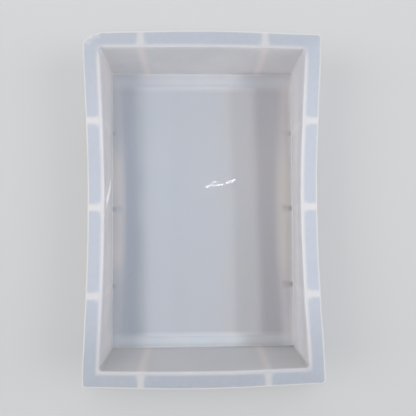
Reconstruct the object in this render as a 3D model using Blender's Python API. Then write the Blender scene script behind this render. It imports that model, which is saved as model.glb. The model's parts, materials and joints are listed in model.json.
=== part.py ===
"""Deep rectangular silicone tray mould for resin casting.

Metres, +Z up. X runs across the tray and Y along it. The origin is the centre of the underside.
The tray is one flexible moulding. It is built here region by region: a base panel, four corner
posts, four walls that bend about their feet, the flange that rims the opening and the buttress
ribs under it. Every region is first laid out straight and square, and set_shape() then gives it
the lean and the bow that the soft walls have taken.
"""
import math

import bmesh
import bpy
from mathutils import Vector

# ---- driving dimensions -------------------------------------------------------------------
CAVITY_WIDTH = 0.2015        # inside, across, at the floor and at the corners of the opening
CAVITY_LENGTH = 0.3045       # inside, along, at the floor
CAVITY_DEPTH = 0.060
BASE_THICKNESS = 0.005
WALL_THICKNESS = 0.004
FLANGE_THICKNESS = 0.004
FLANGE_WIDTH = 0.2345        # overall, across
FLANGE_LENGTH = 0.3427       # overall, along, at the corners

LEAN_LEFT = 0.0053           # inward lean of a long wall, at its middle and at the flange
LEAN_RIGHT = 0.0062
# The short walls, each measured at the flange: how far it leans out all along, how much further
# its middle bulges, and how much further again the flange's outer edge bows there.
DRAFT = {"front": 0.0027, "back": 0.0035}
BULGE = {"front": 0.0020, "back": 0.0011}
EDGE_BULGE = {"front": 0.0011, "back": 0.0015}
BOW_REACH_ALONG = 0.165      # the long walls' lean dies out this far from the middle
BOW_REACH_ACROSS = 0.112     # the short walls' bulge dies out this far from the middle
BOW_POWER = 1.5              # shape of the bow: (1 - t^2) to this power

POST_ARM = 0.006             # inside length of a corner post's two arms
RIB_THICKNESS = 0.0058
RIB_TOP_SETBACK = 0.0010     # from the flange's outer edge to the rib's top corner
RIB_FOOT_DEPTH = 0.0035
RIB_FOOT_HEIGHT = 0.012      # the ribs stop this far above the ground
RIBS_ALONG = (-0.0840, 0.0008, 0.0852)
RIBS_ACROSS = (-0.0612, 0.0614)

GAP = 0.0003                 # clearance between neighbouring regions
CORNER_RADIUS = 0.003
EDGE_RADIUS = 0.0010
LONG_STATIONS = 16           # straight pieces along a long wall
SHORT_STATIONS = 12

# ---- derived planes -----------------------------------------------------------------------
FLOOR_Z = BASE_THICKNESS
TOP_Z = BASE_THICKNESS + CAVITY_DEPTH
FLANGE_Z = TOP_Z - FLANGE_THICKNESS
FOOT_RADIUS = WALL_THICKNESS / 2
HINGE_Z = FLOOR_Z + GAP + FOOT_RADIUS
INNER_X = CAVITY_WIDTH / 2
INNER_Y = CAVITY_LENGTH / 2
OUTER_X = INNER_X + WALL_THICKNESS
OUTER_Y = INNER_Y + WALL_THICKNESS
FLANGE_X = FLANGE_WIDTH / 2
FLANGE_Y = (FLANGE_LENGTH - DRAFT["front"] - DRAFT["back"]) / 2      # before the ends lean out
SPLIT_X = INNER_X - POST_ARM                  # corner posts begin here, walls end a gap earlier
SPLIT_Y = INNER_Y - POST_ARM

SIDES = {"left": (-1, 0), "right": (1, 0), "front": (0, -1), "back": (0, 1)}
CORNERS = {"front_left": (-1, -1), "front_right": (1, -1), "back_left": (-1, 1), "back_right": (1, 1)}

# The back left corner of the flange is torn off: steps across and along from the full corner.
TORN_CORNER = (
    (0.0000, -0.0105),
    (0.0012, -0.0081),
    (0.0038, -0.0064),
    (0.0060, -0.0040),
    (0.0080, -0.0025),
    (0.0110, -0.0013),
    (0.0140, -0.0006),
    (0.0175, 0.0000),
)

SILICONE = (0.56, 0.60, 0.66, 1.0)
SILICONE_THICK = (0.72, 0.72, 0.74, 1.0)


# ---- the shape that the soft walls have taken ---------------------------------------------
def clamp01(value):
    return min(1.0, max(0.0, value))


def bow(distance, reach):
    """Share of the full bow at this distance from a side's middle."""
    t = min(1.0, abs(distance) / reach)
    return (1.0 - t * t) ** BOW_POWER


def set_shape(point):
    """Move one point of the straight, square tray to where the relaxed tray holds it."""
    x, y, z = point
    height = clamp01((z - HINGE_Z) / (TOP_Z - HINGE_Z))
    on_long_side = clamp01((abs(x) - SPLIT_X) / POST_ARM)
    on_short_side = clamp01((abs(y) - SPLIT_Y) / POST_ARM)
    on_flange_edge = clamp01((abs(y) - OUTER_Y) / (FLANGE_Y - OUTER_Y))
    lean = LEAN_LEFT if x < 0 else LEAN_RIGHT
    inward = lean * bow(y, BOW_REACH_ALONG) * height * on_long_side
    end = "front" if y < 0 else "back"
    bulge = BULGE[end] + EDGE_BULGE[end] * on_flange_edge
    outward = (bulge * bow(x, BOW_REACH_ACROSS) + DRAFT[end]) * height * on_short_side
    return Vector((x - math.copysign(inward, x), y + math.copysign(outward, y), z))


# ---- helpers ------------------------------------------------------------------------------
def clear_scene():
    for obj in list(bpy.data.objects):
        bpy.data.objects.remove(obj, do_unlink=True)


def material(name, colour, roughness):
    mat = bpy.data.materials.new(name)
    mat.use_nodes = True
    shader = mat.node_tree.nodes["Principled BSDF"]
    shader.inputs["Base Color"].default_value = colour
    shader.inputs["Roughness"].default_value = roughness
    shader.inputs["Metallic"].default_value = 0.0
    return mat


def box(low, high):
    """A bmesh box between two corners."""
    bm = bmesh.new()
    bmesh.ops.create_cube(bm, size=1.0)
    low = Vector(low)
    high = Vector(high)
    bmesh.ops.scale(bm, vec=high - low, verts=bm.verts)
    bmesh.ops.translate(bm, vec=(low + high) / 2, verts=bm.verts)
    return bm


def cut_stations(bm, axis, low, high, count):
    """Cut evenly spaced stations across a straight piece, so that it can bow."""
    normal = Vector((0.0, 0.0, 0.0))
    normal[axis] = 1.0
    for step in range(1, count):
        place = normal * (low + (high - low) * step / count)
        everything = list(bm.verts) + list(bm.edges) + list(bm.faces)
        bmesh.ops.bisect_plane(bm, geom=everything, plane_co=place, plane_no=normal)


def round_edges(bm, is_chosen, radius, segments):
    """Round the edges whose two end points both pass the test."""
    edges = [edge for edge in bm.edges if all(is_chosen(v.co) for v in edge.verts)]
    bmesh.ops.bevel(
        bm, geom=edges, offset=radius, segments=segments, profile=0.5, affect="EDGES",
    )


def near(value, target):
    return abs(value - target) < 1e-5


def slab(outline, low_z, high_z):
    """A flat plate with this outline, given anticlockwise, between two heights."""
    bm = bmesh.new()
    face = bm.faces.new([bm.verts.new((x, y, low_z)) for x, y in outline])
    top = bmesh.ops.extrude_face_region(bm, geom=[face])["geom"]
    risen = [item for item in top if isinstance(item, bmesh.types.BMVert)]
    bmesh.ops.translate(bm, vec=(0.0, 0.0, high_z - low_z), verts=risen)
    bmesh.ops.recalc_face_normals(bm, faces=bm.faces)
    return bm


def add_piece(name, bm, mat, pivot):
    """Give the piece its relaxed shape, and make it an object with its origin at the pivot."""
    for vert in bm.verts:
        vert.co = set_shape(vert.co) - pivot.location
    bmesh.ops.recalc_face_normals(bm, faces=bm.faces)
    mesh = bpy.data.meshes.new(name)
    bm.to_mesh(mesh)
    bm.free()
    mesh.materials.append(mat)
    mesh.shade_smooth()
    mesh.set_sharp_from_angle(angle=math.radians(35))
    obj = bpy.data.objects.new(name, mesh)
    bpy.data.collections["resin_casting_mould"].objects.link(obj)
    obj.parent = pivot
    return obj


def add_pivot(name, place):
    pivot = bpy.data.objects.new(name, None)
    pivot.empty_display_size = 0.01
    pivot.location = place
    bpy.data.collections["resin_casting_mould"].objects.link(pivot)
    return pivot


def along_side(side, run_low, run_high, out_low, out_high, low_z, high_z):
    """A box on one side of the tray: run is along the side, out is away from the centre."""
    x_sign, y_sign = SIDES[side]
    if x_sign:
        across = sorted((x_sign * out_low, x_sign * out_high))
        return box((across[0], run_low, low_z), (across[1], run_high, high_z))
    across = sorted((y_sign * out_low, y_sign * out_high))
    return box((run_low, across[0], low_z), (run_high, across[1], high_z))


def side_frame(side):
    """The numbers that differ between the long sides and the short ones."""
    if SIDES[side][0]:
        return {
            "out": 0, "run": 1, "sign": SIDES[side][0], "inner": INNER_X, "outer": OUTER_X,
            "flange": FLANGE_X, "half_run": SPLIT_Y - GAP, "stations": LONG_STATIONS,
            "ribs": RIBS_ALONG,
        }
    return {
        "out": 1, "run": 0, "sign": SIDES[side][1], "inner": INNER_Y, "outer": OUTER_Y,
        "flange": FLANGE_Y, "half_run": SPLIT_X - GAP, "stations": SHORT_STATIONS,
        "ribs": RIBS_ACROSS,
    }


# ---- the regions of the moulding ----------------------------------------------------------
def make_base(mat, centre):
    bm = box((-OUTER_X, -OUTER_Y, 0.0), (OUTER_X, OUTER_Y, FLOOR_Z))
    uprights = [e for e in bm.edges if near(e.verts[0].co.x, e.verts[1].co.x)
                and near(e.verts[0].co.y, e.verts[1].co.y)]
    bmesh.ops.bevel(
        bm, geom=uprights, offset=CORNER_RADIUS, segments=4, profile=0.5, affect="EDGES",
    )
    round_edges(bm, lambda co: near(co.z, 0.0), EDGE_RADIUS, 2)
    add_piece("base_panel", bm, mat, centre)


def corner_outline(x_sign, y_sign, far_x, far_y, far_points):
    """An L around one corner of the cavity, out to far_x and far_y, anticlockwise."""
    inside = [(SPLIT_X, far_y), (SPLIT_X, INNER_Y), (INNER_X, INNER_Y), (INNER_X, SPLIT_Y),
              (far_x, SPLIT_Y)]
    outline = [(x_sign * x, y_sign * y) for x, y in inside + far_points]
    if x_sign * y_sign < 0:
        outline.reverse()
    return outline


def arc_points(far_x, far_y, radius, steps):
    """A rounded far corner, from the X side to the Y side."""
    points = []
    for step in range(steps + 1):
        angle = math.radians(90.0 * step / steps)
        x = far_x - radius + radius * math.cos(angle)
        y = far_y - radius + radius * math.sin(angle)
        points.append((x, y))
    return points


def make_corner(corner, post_mat, flange_mat, centre):
    """The stiff corner: an upright L-shaped post, and its corner of the flange."""
    x_sign, y_sign = CORNERS[corner]
    post = slab(
        corner_outline(x_sign, y_sign, OUTER_X, OUTER_Y,
                       arc_points(OUTER_X, OUTER_Y, CORNER_RADIUS, 4)),
        FLOOR_Z + GAP, FLANGE_Z - GAP,
    )
    add_piece("corner_post_" + corner, post, post_mat, centre)

    if corner == "back_left":
        far_points = [(FLANGE_X - across, FLANGE_Y + along) for across, along in TORN_CORNER]
    else:
        far_points = arc_points(FLANGE_X, FLANGE_Y, CORNER_RADIUS, 4)
    flange = slab(
        corner_outline(x_sign, y_sign, FLANGE_X, FLANGE_Y, far_points), FLANGE_Z, TOP_Z,
    )
    add_piece("rim_corner_" + corner, flange, flange_mat, centre)


def make_wall(side, mat, pivot):
    """An upright wall whose rounded foot turns on the hinge line."""
    frame = side_frame(side)
    half_run = frame["half_run"]
    foot_z = FLOOR_Z + GAP
    bm = along_side(
        side, -half_run, half_run, frame["inner"], frame["outer"], foot_z, FLANGE_Z - GAP,
    )
    foot_edges = [
        edge for edge in bm.edges
        if all(near(v.co.z, foot_z) for v in edge.verts)
        and near(edge.verts[0].co[frame["out"]], edge.verts[1].co[frame["out"]])
    ]
    bmesh.ops.bevel(
        bm, geom=foot_edges, offset=FOOT_RADIUS * 0.98, segments=4, profile=0.5, affect="EDGES",
    )
    cut_stations(bm, frame["run"], -half_run, half_run, frame["stations"])
    add_piece("wall_" + side, bm, mat, pivot)


def make_rim(side, mat, pivot):
    """The flange along one side, with rounded top edges. It covers the wall's top."""
    frame = side_frame(side)
    half_run = frame["half_run"]
    bm = along_side(
        side, -half_run, half_run, frame["inner"], frame["flange"], FLANGE_Z, TOP_Z,
    )
    long_top_edges = [
        edge for edge in bm.edges
        if all(near(v.co.z, TOP_Z) for v in edge.verts)
        and near(edge.verts[0].co[frame["out"]], edge.verts[1].co[frame["out"]])
    ]
    bmesh.ops.bevel(
        bm, geom=long_top_edges, offset=EDGE_RADIUS, segments=2, profile=0.5, affect="EDGES",
    )
    cut_stations(bm, frame["run"], -half_run, half_run, frame["stations"])
    add_piece("rim_" + side, bm, mat, pivot)


def make_ribs(side, mat, pivot):
    """Buttress ribs outside one wall, widest where they meet the flange."""
    frame = side_frame(side)
    wall_face = frame["outer"] + GAP
    top_depth = frame["flange"] - RIB_TOP_SETBACK - wall_face
    for number, place in enumerate(frame["ribs"], start=1):
        bm = along_side(
            side, place - RIB_THICKNESS / 2, place + RIB_THICKNESS / 2,
            wall_face, wall_face + top_depth, RIB_FOOT_HEIGHT, FLANGE_Z - GAP,
        )
        for vert in bm.verts:
            is_outer = abs(vert.co[frame["out"]]) > wall_face + top_depth / 2
            if is_outer and near(vert.co.z, RIB_FOOT_HEIGHT):
                vert.co[frame["out"]] = frame["sign"] * (wall_face + RIB_FOOT_DEPTH)
        uprights = [
            edge for edge in bm.edges
            if all(abs(v.co[frame["out"]]) > wall_face + RIB_FOOT_DEPTH / 2 for v in edge.verts)
            and near(edge.verts[0].co[frame["run"]], edge.verts[1].co[frame["run"]])
        ]
        bmesh.ops.bevel(
            bm, geom=uprights, offset=EDGE_RADIUS, segments=2, profile=0.5, affect="EDGES",
        )
        add_piece(f"rib_{side}_{number}", bm, mat, pivot)


def hinge_place(side):
    """The middle of the line that a wall bends about."""
    x_sign, y_sign = SIDES[side]
    return (x_sign * (INNER_X + FOOT_RADIUS), y_sign * (INNER_Y + FOOT_RADIUS), HINGE_Z)


def main():
    clear_scene()
    collection = bpy.data.collections.new("resin_casting_mould")
    bpy.context.scene.collection.children.link(collection)

    thin = material("silicone_thin", SILICONE, 0.45)
    thick = material("silicone_thick", SILICONE_THICK, 0.45)
    centre = add_pivot("tray_origin", (0.0, 0.0, 0.0))

    make_base(thin, centre)
    for corner in CORNERS:
        make_corner(corner, thick, thin, centre)
    for side in SIDES:
        pivot = add_pivot("bend_line_" + side, hinge_place(side))
        make_wall(side, thin, pivot)
        make_rim(side, thin, pivot)
        make_ribs(side, thick, pivot)
    bpy.context.view_layer.update()


main()
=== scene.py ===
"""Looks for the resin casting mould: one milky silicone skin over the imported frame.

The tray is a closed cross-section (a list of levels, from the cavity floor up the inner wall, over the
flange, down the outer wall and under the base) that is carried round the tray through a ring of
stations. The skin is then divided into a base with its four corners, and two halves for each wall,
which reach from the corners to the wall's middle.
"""

import json
import math

import bpy
import numpy as np
from mathutils import Matrix, Vector, noise
from mathutils.geometry import delaunay_2d_cdt


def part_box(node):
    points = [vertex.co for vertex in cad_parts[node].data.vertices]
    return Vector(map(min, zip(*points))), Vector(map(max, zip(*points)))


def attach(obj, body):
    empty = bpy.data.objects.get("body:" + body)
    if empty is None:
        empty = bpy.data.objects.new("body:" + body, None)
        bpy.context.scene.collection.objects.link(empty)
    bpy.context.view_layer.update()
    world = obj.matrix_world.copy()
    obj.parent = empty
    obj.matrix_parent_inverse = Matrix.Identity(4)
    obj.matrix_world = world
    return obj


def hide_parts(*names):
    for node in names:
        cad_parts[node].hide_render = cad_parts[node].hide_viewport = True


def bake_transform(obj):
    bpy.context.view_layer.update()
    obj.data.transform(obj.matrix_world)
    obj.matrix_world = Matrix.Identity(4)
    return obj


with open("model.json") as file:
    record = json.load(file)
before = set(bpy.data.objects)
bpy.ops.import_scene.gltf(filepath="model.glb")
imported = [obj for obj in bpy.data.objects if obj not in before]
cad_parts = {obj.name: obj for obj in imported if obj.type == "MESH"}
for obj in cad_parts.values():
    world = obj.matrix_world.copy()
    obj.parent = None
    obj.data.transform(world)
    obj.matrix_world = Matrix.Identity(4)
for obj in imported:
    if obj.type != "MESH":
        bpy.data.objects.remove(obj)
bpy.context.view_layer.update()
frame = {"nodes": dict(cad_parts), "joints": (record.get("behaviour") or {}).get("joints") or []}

# ---- sizes read from the frame ------------------------------------------------------------
_, BASE_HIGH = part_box("base_panel")
RIM_LOW, RIM_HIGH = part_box("rim_corner_front_right")
OUTER_X, OUTER_Y, FLOOR_Z = BASE_HIGH
FLANGE_X, TOP_Z, FLANGE_Z = RIM_HIGH.x, RIM_HIGH.z, RIM_LOW.z
HALF_RUN_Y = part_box("wall_right")[1].y          # the long walls' half length
HALF_RUN_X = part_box("wall_back")[1].x
HINGE_Z = frame["joints"][0]["pos_m"][2]

# ---- sizes that part.py also uses ---------------------------------------------------------
MM = 0.001
WALL = 4.0 * MM
FLANGE_Y = 168.25 * MM                          # before the short walls' lean moves it out
LEAN_LEFT = 5.3 * MM
LEAN_RIGHT = 6.2 * MM
DRAFT = {-1: 2.7 * MM, 1: 3.5 * MM}             # the front wall and the back wall
BULGE = {-1: 2.0 * MM, 1: 1.1 * MM}
EDGE_BULGE = {-1: 1.1 * MM, 1: 1.5 * MM}
BOW_REACH_ALONG = 165 * MM
BOW_REACH_ACROSS = 112 * MM
BOW_POWER = 1.5
POST_ARM = 6 * MM
RIBS_ALONG = (-84.0 * MM, 0.8 * MM, 85.2 * MM)
RIBS_ACROSS = (-61.2 * MM, 61.4 * MM)
RIB_HALF = 2.9 * MM
RIB_FOOT_DEPTH = 3.5 * MM
RIB_FOOT_Z = 12 * MM
TORN_CORNER = (
    (0.0000, -0.0105),
    (0.0012, -0.0081),
    (0.0038, -0.0064),
    (0.0060, -0.0040),
    (0.0080, -0.0025),
    (0.0110, -0.0013),
    (0.0140, -0.0006),
    (0.0175, 0.0000),
)

INNER_X = OUTER_X - WALL
INNER_Y = OUTER_Y - WALL
OVERHANG = FLANGE_X - OUTER_X                   # of the long flanges, beyond the wall
END_SCALE = (FLANGE_Y - OUTER_Y) / OVERHANG     # the short flanges are a little narrower
FLANGE_OUT = WALL + OVERHANG

# ---- roundings of the moulded skin --------------------------------------------------------
FLOOR_FILLET = 1.6 * MM
LIP_RADIUS = 1.4 * MM
EDGE_RADIUS = 0.9 * MM
UNDER_RADIUS = 0.7 * MM
UNDER_FILLET = 2.2 * MM
BASE_RADIUS = 1.0 * MM
CORNER_RADIUS = 3.0 * MM
CAVITY_CORNER_RADIUS = 2.2 * MM
FLASH_OUT = 0.22 * MM
STATION_STEP = 4.5 * MM
FLOOR_STEP = 4.0 * MM
UNDER_STEP = 12 * MM

# Unless it is given a seed, the noise module takes one from the clock.
NOISE_SEED = 1
noise.seed_set(NOISE_SEED)
# Unevenness: how far the surface moves, and over what length it changes.
EDGE_WANDER = 0.22 * MM
EDGE_WANDER_LENGTH = 23 * MM
EDGE_RIPPLE = 0.07 * MM
EDGE_RIPPLE_LENGTH = 4 * MM
WAVE = np.array((0.25, 0.25, 0.22)) * MM
WAVE_LENGTH = 45 * MM
GRIT = 0.28 * MM
GRIT_LENGTH = 1.1 * MM

SIDE_RIBS = {"left": RIBS_ALONG, "right": RIBS_ALONG, "front": RIBS_ACROSS, "back": RIBS_ACROSS}
# How strongly the ribs behind each side of the cavity glow through its wall, as painted light.
RIB_GLOW = {"left": 0.8, "right": 0.8, "front": 1.7, "back": 1.4}
CORNER_SIGNS = {
    "front_left": (-1, -1),
    "front_right": (1, -1),
    "back_left": (-1, 1),
    "back_right": (1, 1),
}
# Small nibs left on the trimmed flange edge: side, place along it, size, half width.
NIBS = (
    ("left", -77 * MM, 0.5 * MM, 1.6 * MM),
    ("left", -143 * MM, 0.45 * MM, 1.5 * MM),
    ("right", 118 * MM, 0.3 * MM, 1.5 * MM),
)
# The kink in the left wall rises towards the front as it climbs.
KINK_LOW = 13 * MM
KINK_HIGH = 51 * MM
KINK_BACK = 31.0 * MM
KINK_FRONT = 8.0 * MM
KINK_HALF = 4.4 * MM
KINK_RISE = 0.4 * MM


# ---- small maths --------------------------------------------------------------------------
def clamp01(value):
    return min(1.0, max(0.0, value))


def smooth(low, high, value):
    t = clamp01((value - low) / (high - low))
    return t * t * (3.0 - 2.0 * t)


def between(a, b, share):
    return a + (b - a) * share


def bow(distance, reach):
    t = min(1.0, abs(distance) / reach)
    return (1.0 - t * t) ** BOW_POWER


def height_share(z):
    """0 at the walls' feet, where they bend, and 1 at the flange's top."""
    return clamp01((z - HINGE_Z) / (TOP_Z - HINGE_Z))


def relax(x, y, z):
    """The same relaxed shape that part.py gives every region, without its creases."""
    on_long_side = smooth(INNER_X - POST_ARM, INNER_X, abs(x))
    on_short_side = smooth(INNER_Y - POST_ARM, INNER_Y, abs(y))
    on_flange_edge = clamp01((abs(y) - OUTER_Y) / (FLANGE_Y - OUTER_Y))
    lean = LEAN_LEFT if x < 0 else LEAN_RIGHT
    inward = lean * bow(y, BOW_REACH_ALONG) * height_share(z) * on_long_side
    end = -1 if y < 0 else 1
    bulge = BULGE[end] + EDGE_BULGE[end] * on_flange_edge
    outward = (bulge * bow(x, BOW_REACH_ACROSS) + DRAFT[end]) * height_share(z) * on_short_side
    return x - math.copysign(inward, x), y + math.copysign(outward, y), z


# ---- the cross-section --------------------------------------------------------------------
def arc(out, z, radius, start, end, steps):
    """Points on an arc in the cross-section, angles in degrees from the outward direction."""
    points = []
    for step in range(steps + 1):
        angle = math.radians(between(start, end, step / steps))
        points.append((out + radius * math.cos(angle), z + radius * math.sin(angle)))
    return points


def line(start, end, steps):
    """Points strictly between two ends."""
    return [
        (between(start[0], end[0], k / steps), between(start[1], end[1], k / steps))
        for k in range(1, steps)
    ]


def lengths_along(points):
    """How far along a polyline each of its points lies, as a share of its length."""
    steps = np.linalg.norm(np.diff(np.array(points), axis=0), axis=1)
    return np.concatenate([[0.0], np.cumsum(steps)]) / steps.sum()


def at_shares(points, shares):
    """Points at these shares of a polyline's length."""
    along = lengths_along(points)
    outs, heights = zip(*points)
    return [(float(np.interp(s, along, outs)), float(np.interp(s, along, heights))) for s in shares]


def cross_section():
    """The levels, in order, as tuples (zone, plain point, point on a rib)."""
    foot_z = FLOOR_Z + FLOOR_FILLET
    floor_fillet = arc(-FLOOR_FILLET, foot_z, FLOOR_FILLET, -90, 0, 5)
    inner_wall = line((0, foot_z), (0, TOP_Z - LIP_RADIUS), 24)
    lip = arc(LIP_RADIUS, TOP_Z - LIP_RADIUS, LIP_RADIUS, 180, 90, 6)
    flange_outs = (1.9, 2.4, 2.9, 3.4, 3.9, 4.5, 5.2, 6.2, 7.5, 9, 10.5, 12, 13.4, 14.6)
    flange = [(out * MM, TOP_Z) for out in flange_outs]
    edge = arc(FLANGE_OUT - EDGE_RADIUS, TOP_Z - EDGE_RADIUS, EDGE_RADIUS, 90, 0, 5)
    edge += [
        (FLANGE_OUT, TOP_Z - 1.9 * MM),
        (FLANGE_OUT + FLASH_OUT, TOP_Z - 2.15 * MM),
        (FLANGE_OUT, TOP_Z - 2.4 * MM),
    ]
    under_out = FLANGE_OUT - UNDER_RADIUS
    edge += arc(under_out, FLANGE_Z + UNDER_RADIUS, UNDER_RADIUS, 0, -90, 4)

    rib_end = (WALL, RIB_FOOT_Z - 2 * MM)
    fillet = arc(WALL + UNDER_FILLET, FLANGE_Z - UNDER_FILLET, UNDER_FILLET, 90, 180, 5)
    plain = [(under_out, FLANGE_Z)] + line((under_out, FLANGE_Z), fillet[0], 6) + fillet
    plain += line(fillet[-1], rib_end, 11) + [rib_end]
    rib_out = WALL + RIB_FOOT_DEPTH
    ribbed = [
        (under_out, FLANGE_Z),
        (under_out - 0.3 * MM, FLANGE_Z - 0.9 * MM),
        (rib_out + 0.3 * MM, RIB_FOOT_Z + 1.5 * MM),
        (rib_out - 0.5 * MM, RIB_FOOT_Z),
        (WALL + 0.8 * MM, RIB_FOOT_Z - 0.6 * MM),
        rib_end,
    ]
    ribbed = at_shares(ribbed, lengths_along(plain))

    wall_foot = line(rib_end, (WALL, foot_z), 2) + [(WALL, foot_z)]
    base_side = line((WALL, foot_z), (WALL, BASE_RADIUS), 3)
    base_side += arc(WALL - BASE_RADIUS, BASE_RADIUS, BASE_RADIUS, 0, -90, 4)

    levels = []
    for zone, points in (
        ("floor", floor_fillet),
        ("inner_wall", inner_wall),
        ("lip", lip),
        ("flange", flange),
        ("edge", edge),
    ):
        levels += [(zone, point, point) for point in points]
    levels += [("outer_wall", a, b) for a, b in zip(plain[1:], ribbed[1:])]
    levels += [("outer_wall", point, point) for point in wall_foot]
    levels += [("base_side", point, point) for point in base_side]
    return levels


# ---- the ring of stations -----------------------------------------------------------------
def side_places(half_run, ribs, fine=()):
    """Places along a side, evenly spaced, with extra ones where a rib begins and ends."""
    count = round(half_run / STATION_STEP) * 2
    places = [between(-half_run, half_run, k / count) for k in range(count + 1)]
    near_rib = [d * MM for d in (0.0, 1.2, 2.0, 2.5, 2.8, 3.1, 3.4, 3.8, 4.6)]
    for rib in ribs:
        places = [p for p in places if abs(p - rib) > 5.2 * MM or p in (-half_run, half_run)]
        places += [rib + sign * d for d in near_rib for sign in (-1, 1)]
    places = [p for p in places if all(abs(p - extra) > 1.0 * MM for extra in fine)]
    return sorted(set(places) | set(fine))


def near_a_rib(place, ribs, soft_in, soft_out):
    """1 on a rib and 0 beside it, changing from soft_in inside its face to soft_out outside."""
    if not ribs:
        return 0.0
    return max(1.0 - smooth(RIB_HALF - soft_in, RIB_HALF + soft_out, abs(place - rib)) for rib in ribs)


def corner_stations(name):
    """Stations from the long side's end, round the corner, to the short side's end."""
    fine = name == "back_left"
    straight = 10 if fine else 5
    turn = 14 if fine else 8
    stations = [(name, k / straight, "long") for k in range(1, straight + 1)]
    stations += [(name, k / turn, "turn") for k in range(1, turn)]
    stations += [(name, 1 - k / straight, "short") for k in range(straight)]
    x_sign, y_sign = CORNER_SIGNS[name]
    return stations if x_sign * y_sign > 0 else stations[::-1]


def ring():
    """All stations, anticlockwise from the right side's front end. Each is a tuple
    (group, place, phase): the group is a side or a corner, and a side has no phase."""
    right = [("right", y, None) for y in side_places(HALF_RUN_Y, RIBS_ALONG)]
    back = [("back", x, None) for x in reversed(side_places(HALF_RUN_X, RIBS_ACROSS))]
    fine = [k * 1.5 * MM for k in range(4, 21)]     # for the kink
    left = [("left", y, None) for y in reversed(side_places(HALF_RUN_Y, RIBS_ALONG, fine))]
    front = [("front", x, None) for x in side_places(HALF_RUN_X, RIBS_ACROSS)]
    return (right + corner_stations("back_right") + back + corner_stations("back_left")
            + left + corner_stations("front_left") + front + corner_stations("front_right"))


def corner_radius(out):
    if out < 0:
        return max(0.4 * MM, CAVITY_CORNER_RADIUS + out)
    return between(CAVITY_CORNER_RADIUS, CORNER_RADIUS, clamp01(out / WALL))


def plan_point(station, out):
    """Where a station meets the outline that lies this far out from the cavity's wall."""
    group, place, phase = station
    beyond = max(0.0, out - WALL)
    half_x = INNER_X + min(out, WALL) + beyond
    half_y = INNER_Y + min(out, WALL) + beyond * END_SCALE
    if phase is None:
        sides = {
            "right": (half_x, place),
            "left": (-half_x, place),
            "back": (place, half_y),
            "front": (place, -half_y),
        }
        return sides[group]
    radius = corner_radius(out)
    if phase == "long":
        x, y = half_x, between(HALF_RUN_Y, half_y - radius, place)
    elif phase == "short":
        x, y = between(HALF_RUN_X, half_x - radius, place), half_y
    else:
        angle = math.radians(90 * place)
        x = half_x - radius + radius * math.cos(angle)
        y = half_y - radius + radius * math.sin(angle)
    x_sign, y_sign = CORNER_SIGNS[group]
    return x_sign * x, y_sign * y


# ---- the torn corner and the trimmed edge -------------------------------------------------
def torn_outline():
    """The torn flange corner's edge, roughened, as points on the back left."""
    edge = [(-(FLANGE_X - across), FLANGE_Y + along) for across, along in TORN_CORNER]
    edge = at_shares(edge, [k / 60 for k in range(61)])
    rough = []
    for x, y in edge:
        coarse = noise.noise(Vector((x, y, 0.0)) / (1.6 * MM))
        fine = noise.noise(Vector((x, y, 3.0 * MM)) / (0.7 * MM))
        bite = (0.35 * coarse + 0.25 * fine) * MM
        rough.append((x + 0.6 * bite, y - bite))
    before = (-(FLANGE_X + FLASH_OUT), FLANGE_Y - 60 * MM)
    after = (-(FLANGE_X - 60 * MM), FLANGE_Y + FLASH_OUT)
    return [before] + rough + [after]


def reach_along(origin, towards, outline):
    """How far along origin -> towards the outline is crossed, as a share of that distance."""
    ox, oy = origin
    dx, dy = towards[0] - ox, towards[1] - oy
    nearest = 1.0
    for (ax, ay), (bx, by) in zip(outline[:-1], outline[1:]):
        ex, ey = bx - ax, by - ay
        det = dx * ey - dy * ex
        if abs(det) < 1e-15:
            continue
        t = ((ax - ox) * ey - (ay - oy) * ex) / det
        u = ((ax - ox) * dy - (ay - oy) * dx) / det
        if 0.0 <= u <= 1.0 and 0.0 < t < nearest:
            nearest = t
    return nearest


def edge_wander(station, x, y):
    """The trimmed flange edge isn't quite true: a slow wander and a few small nibs, outward."""
    wander = EDGE_WANDER * noise.noise(Vector((x, y, 0.0)) / EDGE_WANDER_LENGTH)
    wander += EDGE_RIPPLE * noise.noise(Vector((x, y, 20 * MM)) / EDGE_RIPPLE_LENGTH)
    for nib_side, nib_place, nib_size, nib_width in NIBS:
        if station[0] == nib_side:
            wander += nib_size * math.exp(-((station[1] - nib_place) / nib_width) ** 2)
    return wander


# ---- the whole skin -----------------------------------------------------------------------
def build_skin(stations, levels):
    """Every point of the grid, station by station and level by level, in the relaxed shape, and
    for each one (out, rib share, torn share)."""
    torn = torn_outline()
    points = []
    facts = []
    for station in stations:
        group, place, _ = station
        share = near_a_rib(place, SIDE_RIBS.get(group, ()), 0.45 * MM, 0.45 * MM)
        kept = 1.0
        if group == "back_left":
            kept = reach_along(plan_point(station, WALL), plan_point(station, FLANGE_OUT), torn)
        for _, (plain_out, plain_z), (rib_out, rib_z) in levels:
            out = between(plain_out, rib_out, share)
            z = between(plain_z, rib_z, share)
            if out > WALL:
                out = WALL + (out - WALL) * kept
            x, y = plan_point(station, out)
            near_edge = smooth(FLANGE_OUT - 4 * MM, FLANGE_OUT - 1 * MM, out)
            if near_edge > 0:
                out += edge_wander(station, x, y) * near_edge
                x, y = plan_point(station, out)
            torn_here = 0.0
            if kept < 0.995 and out > WALL:
                torn_here = smooth(0.35, 0.85, (out - WALL) / (OVERHANG * kept))
                torn_here *= smooth(0.0, 0.08, 1 - kept)
            points.append(relax(x, y, z))
            facts.append((out, share, torn_here))
    return np.array(points), np.array(facts)


def kink_share(x, y, z):
    """A crescent on the left wall's inner face, where it was once folded: 1 on its ridge."""
    if x > 0:
        return 0.0
    up = (z - KINK_LOW) / (KINK_HIGH - KINK_LOW)
    ridge = between(KINK_BACK, KINK_FRONT, up * (1.6 - 0.6 * up))
    along = smooth(-0.2, 0.3, up) * (1.0 - smooth(0.95, 1.1, up))
    return along * math.exp(-((y - ridge) / KINK_HALF) ** 2)


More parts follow.
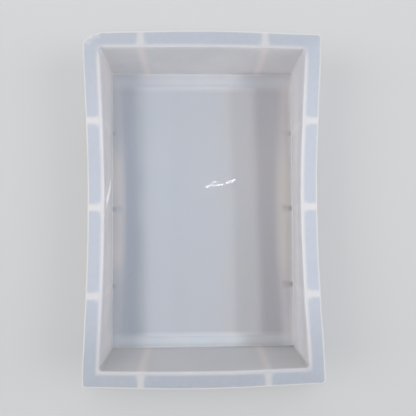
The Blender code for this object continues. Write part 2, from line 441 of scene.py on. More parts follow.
def settle(points, facts):
    """Slow unevenness of soft rubber: the flange undulates, the walls aren't quite flat, one is
    kinked, and the torn edge is gritty."""
    moved = points.copy()
    for k, (x, y, z) in enumerate(points):
        wave = noise.noise_vector(Vector((x, y, z * 0.5)) / WAVE_LENGTH)
        size = WAVE * height_share(z) ** 1.5
        moved[k] += np.array(wave) * size
        out, _, torn = facts[k]
        if abs(out) < 0.1 * MM:
            moved[k, 0] += KINK_RISE * kink_share(x, y, z)
        if torn > 0:
            grit = noise.noise_vector(Vector((x, y, z)) / GRIT_LENGTH)
            moved[k] += np.array(grit) * GRIT * torn
    return moved


def fill_loop(points, loop, spacing, upward):
    """Extra points and triangles that fill a flat loop with an even mesh."""
    rim = points[loop]
    z = float(rim[:, 2].mean())
    low = rim.min(axis=0)
    high = rim.max(axis=0)
    columns = round((high[0] - low[0]) / spacing)
    rows = round((high[1] - low[1]) / spacing)
    inner = [
        (between(low[0], high[0], i / columns), between(low[1], high[1], j / rows))
        for i in range(1, columns) for j in range(1, rows)
    ]
    coords = [Vector(p[:2]) for p in rim] + [Vector(p) for p in inner]
    count = len(rim)
    edges = [(k, (k + 1) % count) for k in range(count)]
    verts, _, faces, sources, _, _ = delaunay_2d_cdt(coords, edges, [list(range(count))], 1, 1e-7)
    index = {}
    extra = []
    for k, vert in enumerate(verts):
        on_rim = [source for source in sources[k] if source < count]
        if on_rim:
            index[k] = loop[on_rim[0]]
        else:
            index[k] = len(points) + len(extra)
            extra.append((vert.x, vert.y, z))
    triangles = []
    for face in faces:
        a, b, c = (verts[k] for k in face[:3])
        turns_left = (b - a).cross(c - a) > 0
        ids = [index[k] for k in face]
        triangles.append(ids if turns_left == upward else ids[::-1])
    return extra, triangles


class Skin:
    """The whole tray's surface: its points, their looks, and its faces on demand."""

    def __init__(self):
        self.stations = ring()
        self.levels = cross_section()
        self.count = len(self.stations)
        self.depth = len(self.levels)
        zones = [zone for zone, _, _ in self.levels]
        self.foot_in = zones.index("inner_wall") - 1
        self.foot_out = zones.index("base_side") - 1
        self.rest, self.facts = build_skin(self.stations, self.levels)
        self.floor_faces = self.add_fill(0, FLOOR_STEP, True)
        self.under_faces = self.add_fill(self.depth - 1, UNDER_STEP, False)
        self.points = settle(self.rest, self.facts)
        everything = self.strip(range(self.count), 0, self.depth - 1)
        self.normals = whole_normals(self.points, everything + self.floor_faces + self.under_faces)
        self.looks = paint(self)

    def at(self, station, level):
        return (station % self.count) * self.depth + level

    def add_fill(self, level, spacing, upward):
        loop = [self.at(s, level) for s in range(self.count)]
        extra, faces = fill_loop(self.rest, loop, spacing, upward)
        self.rest = np.vstack([self.rest, extra])
        self.facts = np.vstack([self.facts, np.zeros((len(extra), 3))])
        return faces

    def strip(self, columns, first, last):
        """Quads between each of these stations and the next, for the levels first to last."""
        return [
            (self.at(s, k), self.at(s, k + 1), self.at(s + 1, k + 1), self.at(s + 1, k))
            for s in columns for k in range(first, last)
        ]

    def section(self, station):
        """The wall's cross-section at a station, as one loop."""
        return tuple(self.at(station, k) for k in range(self.foot_in, self.foot_out + 1))

    def foot_strip(self, columns):
        """Quads across the wall's foot, which close a wall from below."""
        return [
            (self.at(s, self.foot_in), self.at(s + 1, self.foot_in),
             self.at(s + 1, self.foot_out), self.at(s, self.foot_out))
            for s in columns
        ]


def whole_normals(points, faces):
    mesh = bpy.data.meshes.new("whole")
    mesh.from_pydata([tuple(p) for p in points], [], faces)
    mesh.update()
    normals = np.zeros(len(points) * 3, np.float32)
    mesh.vertices.foreach_get("normal", normals)
    bpy.data.meshes.remove(mesh)
    return normals.reshape(-1, 3)


# ---- how the silicone looks from place to place -------------------------------------------
def srgb(red, green, blue):
    """A colour given as it looks on screen, 0 to 255, as linear values."""
    share = np.array((red, green, blue)) / 255.0
    return np.where(share <= 0.04045, share / 12.92, ((share + 0.055) / 1.055) ** 2.4)


# Thin silicone over air is bluish, and thick silicone is milky. Where it is edge-lit or lit from
# behind, its extra brightness is painted light: on the flange's band, ribs and edge, and on the
# cavity's pale walls.
FLANGE_TONE = srgb(174, 179, 189)
BAND_TONE = srgb(198, 197, 200)
EDGE_TONE = srgb(202, 199, 197)
RIB_TONE = srgb(203, 201, 201)
WALL_TONE = srgb(236, 234, 234)
WALL_RIB_TONE = srgb(246, 240, 238)
OUTER_TONE = srgb(206, 209, 214)
OUTER_RIB_TONE = srgb(226, 226, 228)
# The floor's cool left and warm right are painted light; its border glows are painted light coming
# through the walls and a painted reflection of them.
FLOOR_COOL = srgb(155, 160, 169)
FLOOR_WARM = srgb(161, 159, 162)
FLOOR_GLOW_LEFT = srgb(184, 182, 184)
FLOOR_GLOW_RIGHT = srgb(184, 179, 176)
FLOOR_GLOW_FOOT = srgb(187, 184, 185)
FLOOR_GLOW_END = srgb(174, 169, 172)
FLOOR_GLOW_BACK = srgb(198, 200, 206)
FLOOR_GLOW_FRONT = srgb(191, 196, 202)
TORN_TONE = srgb(190, 191, 194)

# The long walls are backlit more than the short ones, and the front gets the least light.
SHADE_LONG = {-1: 0.98, 1: 1.02}
SHADE_SHORT = {-1: 0.935, 1: 0.91}
BAND_SHORT = {-1: 0.82, 1: 0.84}
WALL_SHADE_LONG = {-1: np.array((0.95, 0.93, 0.92)), 1: np.array((1.00, 1.01, 1.04))}
WALL_SHADE_SHORT = {-1: 0.705, 1: 1.04}
# Painted shade where the cavity's walls curve into the floor, on the long and the short walls.
CREASE_SHADE_LONG = {-1: 0.80, 1: 0.80}
CREASE_SHADE_SHORT = {-1: 0.84, 1: 0.95}
# How much of the borders' glow each rib takes away, from the front to the back.
RIB_SHADE = {-1: (0.1, 0.55, 0.05), 1: (0.9, 0.85, 0.4)}
# How dark the painted shadow is that each rib throws on the floor at the wall's foot.
RIB_FOOT_SHADE = 0.16
# How much of the flange's milky band, thicker silicone with painted light, is left at each corner.
BAND_AT_CORNER = {"back_left": 0.15, "back_right": 0.3, "front_left": 0.9, "front_right": 0.55}

# Shares of light lost (at the front, at the back): towards the flange's ends, on the pale band
# there, and on the short walls towards their corners.
FLANGE_END_SHADE = {-1: 0.17, 1: 0.08}
BAND_END_SHADE = {-1: 0.11, 1: 0.07}
WALL_CORNER_SHADE = {-1: 0.12, 1: 0.08}
# The same for the long walls under their lip (on the left, on the right), for their front ends, and
# for the foot of the short walls on the right.
WALL_LIP_SHADE = {-1: 0.03, 1: 0.10}
WALL_FRONT_SHADE = 0.03
WALL_FOOT_SHADE = 0.18
# Painted light and shade, as shares gained or lost: the flange's corners (painted light), the kink's
# ridge (a painted highlight, with some whitening of the folded silicone), and slow changes over the
# floor (painted light, shade and reflection).
FLANGE_CORNER_PAINTED_LIGHT = 0.04
KINK_WHITENING_AND_HIGHLIGHT = 0.8
FLOOR_BACK_PAINTED_LIGHT = 0.035
FLOOR_LEFT_PAINTED_REFLECTION = 0.06
FLOOR_FRONT_SHADE = 0.05
# The painted glow along each end of the floor, painted light and a painted reflection of the end walls:
# its colour, where it begins to fade and where it ends, and how much of it is left at the right and at
# the wall's foot.
FLOOR_END_GLOW = {
    -1: (FLOOR_GLOW_FRONT, 9 * MM, 17.5 * MM, 0.4, 0.5),
    1: (FLOOR_GLOW_BACK, 9 * MM, 22 * MM, 0.5, 1.0),
}
RIB_SHADOW_LENGTH = 14 * MM
RIB_FOOT_SHADE_LENGTH = 4 * MM
RIB_TONE_SHARE = 0.92
TORN_TONE_SHARE = 0.5
# How far the shades of two sides blend into each other at a corner.
FLANGE_BLEND = 12 * MM
WALL_BLEND = 1.5 * MM

ROUGH_FLANGE = 0.42
ROUGH_LIP = 0.34
ROUGH_WALL = 0.33
ROUGH_FLOOR = 0.03
ROUGH_OUTER = 0.46
ROUGH_TORN = 0.75


def side_shade(x, y, long_shades, short_shades, softness):
    """The shade of the side that a point belongs to, blended over each corner's diagonal."""
    across = smooth(-softness, softness, (abs(y) - INNER_Y) - (abs(x) - INNER_X))
    return between(long_shades[1 if x > 0 else -1], short_shades[1 if y > 0 else -1], across)


def top_tone(station, out, x, y):
    """The flange's top: milky where the wall stands under it and over the ribs, as thicker silicone
    with painted light added, and painted light at its edge. Each side is painted lighter or darker for
    the light it gets, lighter towards the corners and darker towards the ends.
    """
    group, place, phase = station
    flare = 1.0 - smooth(4 * MM, 9 * MM, out)
    glow = near_a_rib(place, SIDE_RIBS.get(group, ()), 1.4 * MM, between(2.1, 4.2, flare) * MM)
    band = 1.0 - smooth(2.4 * MM, 4.9 * MM, out)
    if phase is not None:
        at_turn = 1.0 if phase == "turn" else smooth(0.3, 1.0, place)
        band *= between(1.0, BAND_AT_CORNER[group], at_turn)
    from_middle = smooth(70 * MM, 165 * MM, abs(y))
    end = 1 if y > 0 else -1
    to_corner = smooth(30 * MM, 90 * MM, abs(x)) * smooth(INNER_Y, OUTER_Y, abs(y))
    # Painted light and shade: each side's share of light, more towards the corners and less towards the
    # ends.
    shade = side_shade(x, y, SHADE_LONG, SHADE_SHORT, FLANGE_BLEND)
    tone = FLANGE_TONE * shade * (1.0 + FLANGE_CORNER_PAINTED_LIGHT * to_corner)
    tone = tone * (1.0 - FLANGE_END_SHADE[end] * from_middle)
    # Over the ribs and the wall the silicone is thicker and milkier, and it is painted lighter still as
    # painted light.
    milky_shade = side_shade(x, y, SHADE_LONG, BAND_SHORT, FLANGE_BLEND)
    tone = between(tone, RIB_TONE * milky_shade, RIB_TONE_SHARE * glow)
    at_end = smooth(75 * MM, 150 * MM, abs(y)) * (1.0 - smooth(-2 * MM, 2 * MM, abs(y) - INNER_Y))
    band_tone = BAND_TONE * milky_shade * (1.0 - BAND_END_SHADE[end] * at_end)
    tone = between(tone, band_tone, band)
    # The trimmed edge is painted light, as if edge-lit.
    edge = smooth(FLANGE_OUT - 1.5 * MM, FLANGE_OUT - 0.6 * MM, out)
    return between(tone, EDGE_TONE, edge)


def inner_tone(station, x, y, z):
    """The cavity's walls: painted pale, as painted light for being backlit, and painted a little darker
    towards the short walls' corners, at the long walls' front ends, under the long walls' lips and at
    the short walls' foot on the right. The ribs behind them glow through as painted light, and the
    kink's ridge has a painted highlight, with some whitening of the folded silicone.
    """
    group, place, _ = station
    rib_share = near_a_rib(place, SIDE_RIBS.get(group, ()), 2.2 * MM, 3.6 * MM)
    # Painted light: the ribs behind the wall glow through it.
    glow = RIB_GLOW.get(group, 0.0) * rib_share
    # Painted shade: each wall's share of light, less towards the corners, at the front, under the lip
    # and at the foot.
    shade = side_shade(x, y, WALL_SHADE_LONG, WALL_SHADE_SHORT, WALL_BLEND)
    on_short = smooth(-3 * MM, 0.0, abs(y) - INNER_Y)
    at_corner = 1.0 - smooth(0.0, 45 * MM, max(0.0, INNER_X - abs(x)))
    shade = shade * (1.0 - WALL_CORNER_SHADE[1 if y > 0 else -1] * on_short * at_corner)
    shade = shade * (1.0 - WALL_FRONT_SHADE * smooth(80 * MM, 120 * MM, -y) * (1.0 - on_short))
    below_lip = smooth(34 * MM, 54 * MM, z) * (1.0 - on_short)
    shade = shade * (1.0 - WALL_LIP_SHADE[1 if x > 0 else -1] * below_lip)
    at_foot = on_short * smooth(20 * MM, 45 * MM, x) * (1.0 - smooth(0.0, 9 * MM, z - FLOOR_Z))
    shade = shade * (1.0 - WALL_FOOT_SHADE * at_foot)
    tone = between(WALL_TONE, WALL_RIB_TONE, glow) * shade
    # The kink's ridge: a painted highlight, with some whitening of the folded silicone.
    return tone * (1.0 + KINK_WHITENING_AND_HIGHLIGHT * kink_share(x, y, z))


def rib_shadow(y, from_side, length):
    """The soft bar of shadow that the nearest rib throws on the floor, from the wall's foot."""
    beside = min(abs(y - rib) for rib in RIBS_ALONG)
    across = 1.0 - smooth(1.6 * MM, 3.8 * MM, beside)
    return across * (1.0 - smooth(0.75 * length, length, from_side))


def floor_tone(x, y):
    """The cavity's floor: painted cooler on the left and warmer on the right, lighter towards the back
    and darker towards the front on the right, as painted light and shade, with a paler strip on the
    left that is a painted reflection. Painted light brightens its borders, for light that comes through
    the walls and as a painted reflection of them, most beside the bowed middle, and painted rib shadows
    shade it a little."""
    # Painted light and shade over the floor, and on the left a painted reflection.
    tone = between(FLOOR_COOL, FLOOR_WARM, smooth(-20 * MM, 75 * MM, x))
    tone = tone * (1.0 + FLOOR_BACK_PAINTED_LIGHT * y / INNER_Y)
    to_front_right = smooth(25 * MM, 45 * MM, x) * smooth(-60 * MM, 120 * MM, -y)
    tone = tone * (1.0 - FLOOR_FRONT_SHADE * to_front_right)
    left_reflection = smooth(-67 * MM, -57 * MM, x) * (1.0 - smooth(-50 * MM, -25 * MM, x))
    tone = tone * (1.0 + FLOOR_LEFT_PAINTED_REFLECTION * left_reflection)
    side = 1 if x > 0 else -1
    from_side = INNER_X - abs(x)
    middle = 1.0 - smooth(45 * MM, 95 * MM, abs(y))
    nearest = min(range(len(RIBS_ALONG)), key=lambda k: abs(y - RIBS_ALONG[k]))
    # Painted rib shadows take away part of the borders' painted glow.
    shadow = rib_shadow(y, from_side, RIB_SHADOW_LENGTH)
    unshaded = 1.0 - shadow * RIB_SHADE[side][nearest]
    if x < 0:
        reach = 9 * MM + LEAN_LEFT * bow(y, BOW_REACH_ALONG)
        glow = 1.0 - smooth(0.6 * reach, 1.25 * reach, from_side)
        tone = between(tone, FLOOR_GLOW_LEFT, glow * between(0.3, 1.0, middle) * unshaded)
    else:
        reach = 11 * MM + LEAN_RIGHT * bow(y, BOW_REACH_ALONG)
        glow = 1.0 - smooth(0.6 * reach, 1.4 * reach, from_side)
        bright = between(FLOOR_GLOW_END, FLOOR_GLOW_RIGHT, middle)
        bright = between(bright, FLOOR_GLOW_FOOT, 1.0 - smooth(1 * MM, 6 * MM, from_side))
        tone = between(tone, bright, glow * unshaded)
    # A painted shadow where each rib meets the floor at the wall's foot.
    tone = tone * (1.0 - RIB_FOOT_SHADE * rib_shadow(y, from_side, RIB_FOOT_SHADE_LENGTH))
    # The painted glow along the floor's ends: painted light and a painted reflection of the end walls.
    from_end = INNER_Y - abs(y)
    bright, near, far, at_right, at_foot = FLOOR_END_GLOW[1 if y > 0 else -1]
    end = (1.0 - smooth(near, far, from_end)) * between(at_foot, 1.0, smooth(0.0, 5 * MM, from_end))
    end *= between(0.5, 1.0, smooth(-80 * MM, -60 * MM, x))
    end *= between(1.0, at_right, smooth(31 * MM, 58 * MM, x))
    return between(tone, bright, end)


def zone_of(skin, number, z):
    """The zone of a point. Points past the grid fill the floor and the underside."""
    if number < skin.count * skin.depth:
        return skin.levels[number % skin.depth][0]
    return "floor" if z > FLOOR_Z / 2 else "under"


def paint(skin):
    """Per point: the silicone's colour, with its painted light and shade, its roughness, and how torn
    it is.
    """
    tones = np.zeros((len(skin.rest), 4))
    tones[:, 3] = 1.0
    rough = np.full(len(skin.rest), ROUGH_OUTER)
    torn = skin.facts[:, 2]
    grid_count = skin.count * skin.depth
    for k, (x, y, z) in enumerate(skin.rest):
        out, share, torn_here = skin.facts[k]
        station = skin.stations[k // skin.depth] if k < grid_count else None
        zone = zone_of(skin, k, z)
        if zone == "floor":
            up_fillet = smooth(0.15 * MM, 0.6 * MM, z - FLOOR_Z)
            tone = floor_tone(x, y)
            if up_fillet > 0:
                # Painted shade: the wall's colour is darkened where it curves into the floor.
                crease_shade = side_shade(x, y, CREASE_SHADE_LONG, CREASE_SHADE_SHORT, WALL_BLEND)
                tone = between(tone, inner_tone(station, x, y, z) * crease_shade, up_fillet)
            rough[k] = between(ROUGH_FLOOR, ROUGH_WALL, up_fillet)
        elif zone == "inner_wall":
            tone = inner_tone(station, x, y, z)
            rough[k] = ROUGH_WALL
        elif zone == "lip":
            over = smooth(1.3 * MM, 0.4 * MM, TOP_Z - z)
            tone = between(inner_tone(station, x, y, z), top_tone(station, out, x, y), over)
            rough[k] = ROUGH_LIP
        elif zone == "flange":
            tone = top_tone(station, out, x, y)
            rough[k] = ROUGH_FLANGE
        elif zone == "edge":
            # The flange's edge all round is painted light, as if edge-lit.
            tone = EDGE_TONE
            rough[k] = ROUGH_FLANGE
        else:
            on_rib = share * smooth(RIB_FOOT_Z - 2 * MM, RIB_FOOT_Z, z)
            tone = between(OUTER_TONE, OUTER_RIB_TONE, on_rib)
        tones[k, :3] = between(tone, TORN_TONE, TORN_TONE_SHARE * torn_here)
        rough[k] = between(rough[k], ROUGH_TORN, torn_here)
    return {"tone": tones, "rough": rough, "torn": torn}


# ---- pieces -------------------------------------------------------------------------------
def add_attributes(mesh, picked, skin):
    rest = mesh.attributes.new("rest", "FLOAT_VECTOR", "POINT")
    rest.data.foreach_set("vector", skin.rest[picked].astype(np.float32).ravel())
    tone = mesh.attributes.new("tone", "FLOAT_COLOR", "POINT")
    tone.data.foreach_set("color", skin.looks["tone"][picked].astype(np.float32).ravel())
    for name in ("rough", "torn"):
        attribute = mesh.attributes.new(name, "FLOAT", "POINT")
        attribute.data.foreach_set("value", skin.looks[name][picked].astype(np.float32))


def make_piece(name, skin_faces, cap_faces, skin, mat):
    """One closed piece of the skin. It takes the whole skin's normals, so that its joins don't
    show, and its caps, which lie inside the silicone, keep their own."""
    used = sorted({k for face in skin_faces + cap_faces for k in face})
    place = {k: i for i, k in enumerate(used)}
    faces = [tuple(place[k] for k in face) for face in skin_faces + cap_faces]
    mesh = bpy.data.meshes.new(name)
    mesh.from_pydata([tuple(skin.points[k]) for k in used], [], faces)
    mesh.update()
    mesh.materials.append(mat)
    mesh.shade_smooth()
    normals = []
    for number, polygon in enumerate(mesh.polygons):
        own = tuple(polygon.normal)
        for corner in polygon.loop_indices:
            vertex = used[mesh.loops[corner].vertex_index]
            normals.append(tuple(skin.normals[vertex]) if number < len(skin_faces) else own)
    mesh.normals_split_custom_set(normals)
    add_attributes(mesh, np.array(used), skin)
    obj = bpy.data.objects.new(name, mesh)
    bpy.context.scene.collection.objects.link(obj)
    return obj


def make_base(skin, mat, corner_columns, side_columns):
    """The floor, the feet of the walls and the four stiff corners."""
    last = skin.depth - 1
    everywhere = range(skin.count)
    faces = skin.floor_faces + skin.under_faces
    faces += skin.strip(everywhere, 0, skin.foot_in)
    faces += skin.strip(everywhere, skin.foot_out, last)
    faces += skin.strip(corner_columns, skin.foot_in, skin.foot_out)
    caps = [face[::-1] for face in skin.foot_strip(side_columns)]
    for s in everywhere:
        after = (s + 1) % skin.count
        if s in corner_columns and after not in corner_columns:
            caps.append(skin.section(after))
        elif after in corner_columns and s not in corner_columns:
            caps.append(skin.section(after)[::-1])
    base = make_piece("tray_base", faces, caps, skin, mat)
    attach(base, "base")
    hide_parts("base_panel", *[node for node in frame["nodes"] if "corner" in node])


def ribs_between(side, low, high):
    """The rib nodes on a side whose middles lie between two places along it."""
    axis = 1 if side in ("left", "right") else 0
    ribs = []
    for node in frame["nodes"]:
        if node.startswith("rib_" + side):
            rib_low, rib_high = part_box(node)
            middle = (rib_low[axis] + rib_high[axis]) / 2
            if low - RIB_HALF <= middle <= high + RIB_HALF:
                ribs.append(node)
    return ribs


def make_half_wall(name, side, columns, skin, mat):
    """Half a wall with its flange and ribs, from the corner to the middle."""
    after = columns[-1] + 1
    faces = skin.strip(columns, skin.foot_in, skin.foot_out)
    caps = skin.foot_strip(columns)
    caps += [skin.section(columns[0])[::-1], skin.section(after)]
    piece = make_piece(name, faces, caps, skin, mat)
    places = [skin.stations[s][1] for s in list(columns) + [after]]
    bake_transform(piece)
    ribs = ribs_between(side, min(places), max(places))
    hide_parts("wall_" + side, "rim_" + side, *ribs)


# Each side's first half and its second half, in the ring's order.
WALL_HALVES = {
    "right": ("front_half", "back_half"),
    "back": ("right_half", "left_half"),
    "left": ("back_half", "front_half"),
    "front": ("left_half", "right_half"),
}


def make_tray(mat):
    skin = Skin()
    groups = [station[0] for station in skin.stations]
    corners = {s for s in range(skin.count) if groups[s] in CORNER_SIGNS}
    corner_columns = sorted(corners | {(s - 1) % skin.count for s in corners})
    side_columns = [s for s in range(skin.count) if s not in corner_columns]
    make_base(skin, mat, corner_columns, side_columns)
    for side, (first, second) in WALL_HALVES.items():
        columns = [s for s in side_columns if groups[s] == side]
        middle = min(columns, key=lambda s: abs(skin.stations[s][1]))
        make_half_wall(f"{side}_wall_{first}", side, [s for s in columns if s < middle], skin, mat)
        make_half_wall(f"{side}_wall_{second}", side, [s for s in columns if s >= middle], skin, mat)


# ---- material -----------------------------------------------------------------------------
class Graph:
    """Short names for building a node tree."""

    def __init__(self, tree):
        self.tree = tree
        self.nodes = tree.nodes

    def add(self, kind, inputs=None, **settings):
        node = self.nodes.new(kind)
        for key, value in settings.items():
            setattr(node, key, value)
        for key, value in (inputs or {}).items():
            self.feed(node.inputs[key], value)
        return node

    def feed(self, socket, value):
        if isinstance(value, bpy.types.NodeSocket):
            self.tree.links.new(value, socket)
        else:
            socket.default_value = value

    def attribute(self, name, output):
        return self.add("ShaderNodeAttribute", attribute_name=name).outputs[output]

    def maths(self, operation, a, b=0.0):
        node = self.add("ShaderNodeMath", operation=operation)
        self.feed(node.inputs[0], a)
        self.feed(node.inputs[1], b)
        return node.outputs[0]

    def mix(self, share, a, b):
        node = self.add("ShaderNodeMix", data_type="RGBA")
        for socket, value in zip((0, 6, 7), (share, a, b)):
            self.feed(node.inputs[socket], value)
        return node.outputs[2]

    def noise(self, vector, scale, detail=3.0, roughness=0.5):
        inputs = {"Vector": vector, "Scale": scale, "Detail": detail, "Roughness": roughness}
        return self.add("ShaderNodeTexNoise", inputs).outputs["Fac"]

    def band(self, value, low, high, to_low=0.0, to_high=1.0):
        inputs = {"Value": value, "From Min": low, "From Max": high}
        inputs.update({"To Min": to_low, "To Max": to_high})
        return self.add("ShaderNodeMapRange", inputs, interpolation_type="SMOOTHSTEP").outputs["Result"]

    def distance(self, vector, place):
        node = self.add("ShaderNodeVectorMath", operation="DISTANCE")
        self.feed(node.inputs[0], vector)
        node.inputs[1].default_value = place
        return node.outputs["Value"]


def rgba(colour):
    return (*[float(c) for c in colour], 1.0)


CLOUD_TINT = rgba(srgb(150, 162, 184))
MOTTLE_TINT = rgba(srgb(225, 225, 228))
BUBBLE_TINT = rgba(srgb(236, 236, 238))
FLECK_TINT = rgba(srgb(214, 213, 210))
# Scales of the noise, from the slowest to the finest, about as cells in a metre.
RIPPLE_SCALE = 16.0
CLOUD_SCALE = 24.0
SMUDGE_SCALE = 30.0
CRINKLE_SCALE = 70.0
BUBBLE_SCALE = 150.0
MOTTLE_SCALE = 210.0
FLECK_SCALE = 480.0
PIT_SCALE = 800.0
GRAIN_SCALE = 900.0
# Heights in millimetres of what the bump adds.
BUMP_UNIT = 0.001
RIPPLE_HEIGHT = 0.22
CRINKLE_HEIGHT = 0.006
PIT_HEIGHT = 0.22
GRAIN_HEIGHT = 0.012
CRINKLE = (0.0120, 0.0266, 0.0050)              # where the cavity's floor is a little crinkled
CRINKLE_CORE = 0.006
CRINKLE_REACH = 0.030
CLOUD_SHARE = 0.10
BUBBLE_CHOICE = 0.62                            # only cells with a value above this hold a bubble
SILICONE_IOR = 1.45


def silicone():
    mat = bpy.data.materials.new("silicone")
    mat.use_nodes = True
    g = Graph(mat.node_tree)
    shader = g.nodes["Principled BSDF"]
    rest = g.attribute("rest", "Vector")
    # The colour painted per point, which carries its painted light and shade.
    tone = g.attribute("tone", "Color")
    rough = g.attribute("rough", "Fac")
    torn = g.attribute("torn", "Fac")

    # Colour: slow clouds, a fine mottle, sparse bubbles, and white scuffs where it is torn.
    cloud = g.band(g.noise(rest, CLOUD_SCALE, 2.0), 0.35, 0.68)
    colour = g.mix(g.maths("MULTIPLY", cloud, CLOUD_SHARE), tone, CLOUD_TINT)
    mottle = g.band(g.noise(rest, MOTTLE_SCALE, 3.0, 0.6), 0.4, 0.7)
    mottle = g.maths("MULTIPLY", mottle, g.band(rough, 0.05, 0.3, 0.008, 0.035))
    colour = g.mix(mottle, colour, MOTTLE_TINT)
    cells = g.add("ShaderNodeTexVoronoi", {"Vector": rest, "Scale": BUBBLE_SCALE})
    dots = g.band(cells.outputs["Distance"], 0.03, 0.055, 1.0, 0.0)
    chosen = g.maths("GREATER_THAN", cells.outputs["Color"], BUBBLE_CHOICE)
    bubbles = g.maths("MULTIPLY", dots, chosen)
    bubbles = g.maths("MULTIPLY", bubbles, g.band(rough, 0.05, 0.3, 0.08, 0.25))
    colour = g.mix(bubbles, colour, BUBBLE_TINT)
    flecks = g.band(g.noise(rest, FLECK_SCALE, 2.0, 0.55), 0.42, 0.66, 0.0, 0.5)
    colour = g.mix(g.maths("MULTIPLY", torn, flecks), colour, FLECK_TINT)

    # Surface: a fine grain where it is satin, and slow ripples that bend reflections.
    satin = g.band(rough, 0.30, 0.40)
    satin_height = g.maths("MULTIPLY", satin, GRAIN_HEIGHT)
    grain = g.maths("MULTIPLY", g.noise(rest, GRAIN_SCALE, 4.0, 0.6), satin_height)
    ripple = g.maths("MULTIPLY", g.noise(rest, RIPPLE_SCALE, 1.0), RIPPLE_HEIGHT)
    pits = g.maths("MULTIPLY", torn, g.noise(rest, PIT_SCALE, 3.0, 0.7))
    pits = g.maths("MULTIPLY", pits, PIT_HEIGHT)
    around = g.band(g.distance(rest, CRINKLE), CRINKLE_CORE, CRINKLE_REACH, 1.0, 0.0)
    around = g.maths("MULTIPLY", around, CRINKLE_HEIGHT)
    crinkle = g.maths("MULTIPLY", g.noise(rest, CRINKLE_SCALE, 0.0), around)
    height = g.maths("ADD", g.maths("ADD", grain, ripple), g.maths("ADD", pits, crinkle))
    bump = g.add("ShaderNodeBump", {"Height": height, "Strength": 1.0, "Distance": BUMP_UNIT})

    smudge = g.band(g.noise(rest, SMUDGE_SCALE, 3.0), 0.3, 0.7, 0.9, 1.15)
    g.feed(shader.inputs["Base Color"], colour)
    g.feed(shader.inputs["Roughness"], g.maths("MULTIPLY", rough, smudge))
    g.feed(shader.inputs["Normal"], bump.outputs["Normal"])
    shader.inputs["IOR"].default_value = SILICONE_IOR
    shader.inputs["Metallic"].default_value = 0.0
    return mat


# ---- stage, light and camera --------------------------------------------------------------
STAGE_SIZE = 8.0
STAGE_DROP = 0.2 * MM                           # keeps the floor just clear of the tray's underside
STAGE_COLOUR = (0.53, 0.53, 0.53, 1.0)
STAGE_ROUGHNESS = 0.85


def make_stage():
    bpy.ops.mesh.primitive_plane_add(size=STAGE_SIZE, location=(0.0, 0.0, -STAGE_DROP))
    ground = bpy.context.object
    ground.name = "studio_floor"
    mat = bpy.data.materials.new("studio_floor")
    mat.use_nodes = True
    shader = mat.node_tree.nodes["Principled BSDF"]
    shader.inputs["Base Color"].default_value = STAGE_COLOUR
    shader.inputs["Roughness"].default_value = STAGE_ROUGHNESS
    ground.data.materials.append(mat)


def area_light(name, place, target, width, length, radiance, colour, turn=0.0):
    """A soft panel that faces the target. Its power is worked out from its brightness."""
    data = bpy.data.lights.new(name, "AREA")
    data.shape = "RECTANGLE"
    data.size = width
    data.size_y = length
    data.energy = radiance * math.pi * width * length
    data.color = colour
    obj = bpy.data.objects.new(name, data)
    direction = Vector(target) - Vector(place)
    facing = direction.to_track_quat("-Z", "Y").to_matrix().to_4x4()
    obj.matrix_world = Matrix.Translation(place) @ Matrix.Rotation(math.radians(turn), 4, "Z") @ facing
    bpy.context.scene.collection.objects.link(obj)


CEILING = 1.30
CEILING_MIDDLE = 0.165
CEILING_LENGTH = 1.37
CEILING_TURN = 1.3
CEILING_BRIGHT = 3.7
CEILING_DIM = 2.4
# How bright the ceiling panel is from left to right: places across it and the radiance there.
CEILING_PROFILE = (
    (-0.274, 0.0),
    (-0.217, CEILING_BRIGHT),
    (0.141, CEILING_BRIGHT),
    (0.162, CEILING_DIM),
    (0.240, CEILING_DIM),
    (0.270, 0.0),
)
FADE_STEP = 0.017
# The camera: a phone over the tray, a little left of and in front of its middle.
CAMERA_PLACE = Vector((-8.23 * MM, -11.06 * MM, TOP_Z + 395 * MM))
CAMERA_TURN = (1.590, -1.758, -0.333)           # degrees about x, y and z, from straight down
CAMERA_LENS = 35.3
CAMERA_SENSOR = 36.0
# The small glint on the floor, stroke by stroke: where each begins and ends, in millimetres from
# the glint's middle. Each stroke is the mirror image of a thin tube.
GLINT_MIDDLE = Vector((19.0, 28.0)) * MM
GLINT_STROKES = (
    ((-16.5, -4.0), (-9.5, -2.0)),
    ((-9.5, -0.5), (-8.0, 2.5)),
    ((-7.5, 3.0), (-4.0, 0.5)),
    ((-9.0, -2.5), (-5.5, -2.5)),
    ((-4.5, -1.5), (5.5, -1.5)),
    ((7.0, 0.5), (17.0, 4.5)),
)
LAMP_Z = 1.25
LAMP_WIDTH = 0.0026
LAMP_RADIANCE = 45.0
COOL = (0.95, 0.97, 1.0)
WARM = (1.0, 0.96, 0.91)
NEUTRAL = (1.0, 0.99, 0.98)
# Soft panels round the tray: name, place, width, length, radiance, colour.
PANELS = (
    ("left_panel", (-1.3, 0.0, 0.95), 0.8, 1.4, 2.9, WARM),
    ("right_panel", (1.3, 0.0, 0.95), 0.8, 1.4, 2.9, COOL),
    ("back_panel", (0.0, 1.4, 0.95), 1.4, 0.8, 1.2, COOL),
)
PANEL_TARGET = (0, 0, 0.03)
WORLD_COLOUR = (0.90, 0.94, 1.0, 1.0)
WORLD_STRENGTH = 0.45


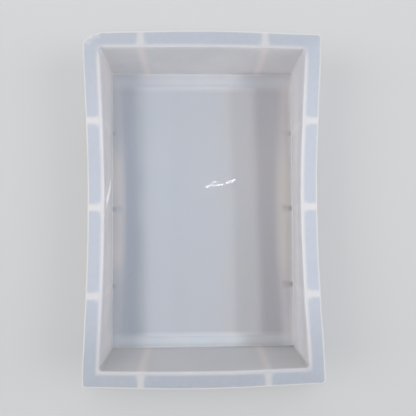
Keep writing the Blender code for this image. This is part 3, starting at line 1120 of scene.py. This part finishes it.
def make_ceiling():
    """The ceiling panel, which the glossy floor mirrors. Where it fades it is cut into strips."""
    for (left, dim), (right, bright) in zip(CEILING_PROFILE[:-1], CEILING_PROFILE[1:]):
        count = 1 if dim == bright else max(2, round((right - left) / FADE_STEP))
        width = (right - left) / count
        for k in range(count):
            middle = left + (k + 0.5) * width
            place = (middle, CEILING_MIDDLE, CEILING)
            below = (middle, CEILING_MIDDLE, 0.0)
            radiance = between(dim, bright, (k + 0.5) / count)
            area_light("ceiling", place, below, width, CEILING_LENGTH, radiance, NEUTRAL, CEILING_TURN)


def mirrored(place):
    """Where on the lamps' level the camera sees, mirrored in the cavity's floor at this place."""
    eye = CAMERA_PLACE.xy
    return place + (place - eye) * (LAMP_Z - FLOOR_Z) / (CAMERA_PLACE.z - FLOOR_Z)


def make_lamps():
    """A thin tube for each stroke of the glint."""
    for stroke in GLINT_STROKES:
        start, end = (mirrored(GLINT_MIDDLE + Vector(point) * MM) for point in stroke)
        middle = (start + end) / 2
        run = end - start
        turn = math.degrees(math.atan2(run.y, run.x))
        place = (middle.x, middle.y, LAMP_Z)
        below = (middle.x, middle.y, 0.0)
        area_light("lamp", place, below, run.length, LAMP_WIDTH, LAMP_RADIANCE, NEUTRAL, turn)


def make_lights():
    world = bpy.data.worlds.new("studio")
    world.use_nodes = True
    background = world.node_tree.nodes["Background"]
    background.inputs["Color"].default_value = WORLD_COLOUR
    background.inputs["Strength"].default_value = WORLD_STRENGTH
    bpy.context.scene.world = world
    make_ceiling()
    for name, place, width, length, radiance, colour in PANELS:
        area_light(name, place, PANEL_TARGET, width, length, radiance, colour)
    make_lamps()


def make_camera():
    data = bpy.data.cameras.new("camera")
    data.sensor_width = CAMERA_SENSOR
    data.lens = CAMERA_LENS
    camera = bpy.data.objects.new("camera", data)
    camera.location = CAMERA_PLACE
    camera.rotation_euler = [math.radians(angle) for angle in CAMERA_TURN]
    bpy.context.scene.collection.objects.link(camera)
    bpy.context.scene.camera = camera


make_camera()
make_tray(silicone())
make_stage()
make_lights()
bpy.context.scene.view_settings.view_transform = "Standard"
